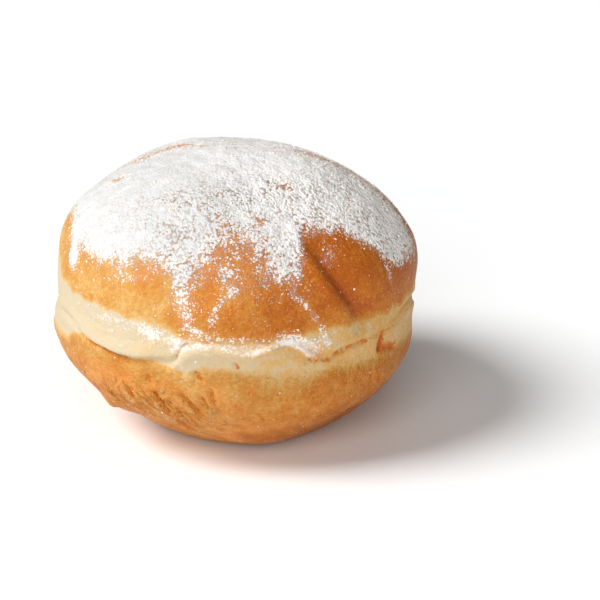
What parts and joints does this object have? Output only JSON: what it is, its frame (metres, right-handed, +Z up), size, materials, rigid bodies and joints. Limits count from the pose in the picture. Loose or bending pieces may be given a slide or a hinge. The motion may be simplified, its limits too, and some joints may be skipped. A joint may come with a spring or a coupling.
{
  "type": "jelly filled doughnut",
  "caption": "Round filled doughnut of fried yeast dough: domed browned crown, pale seam round the side, browned lower half on a small flat foot, dusted with powdered sugar.",
  "frame": {"origin": "on the table, under the middle of the doughnut's box", "axes": "+Z up through the crown, -Y to the front, where the seam laps over and the furrow runs down on the right"},
  "size_m": [0.0854, 0.0862, 0.0646],
  "materials": {
    "fried_dough": "fried yeast dough: matt to softly satin, orange-brown crust above and below, cream where the sides stayed out of the oil",
    "powdered_sugar": "matt white powder, dense on the crown and thinning to loose grains down the sides"
  },
  "bodies": {
    "root": {"doughnut": "fried_dough"}
  },
  "joints": []
}
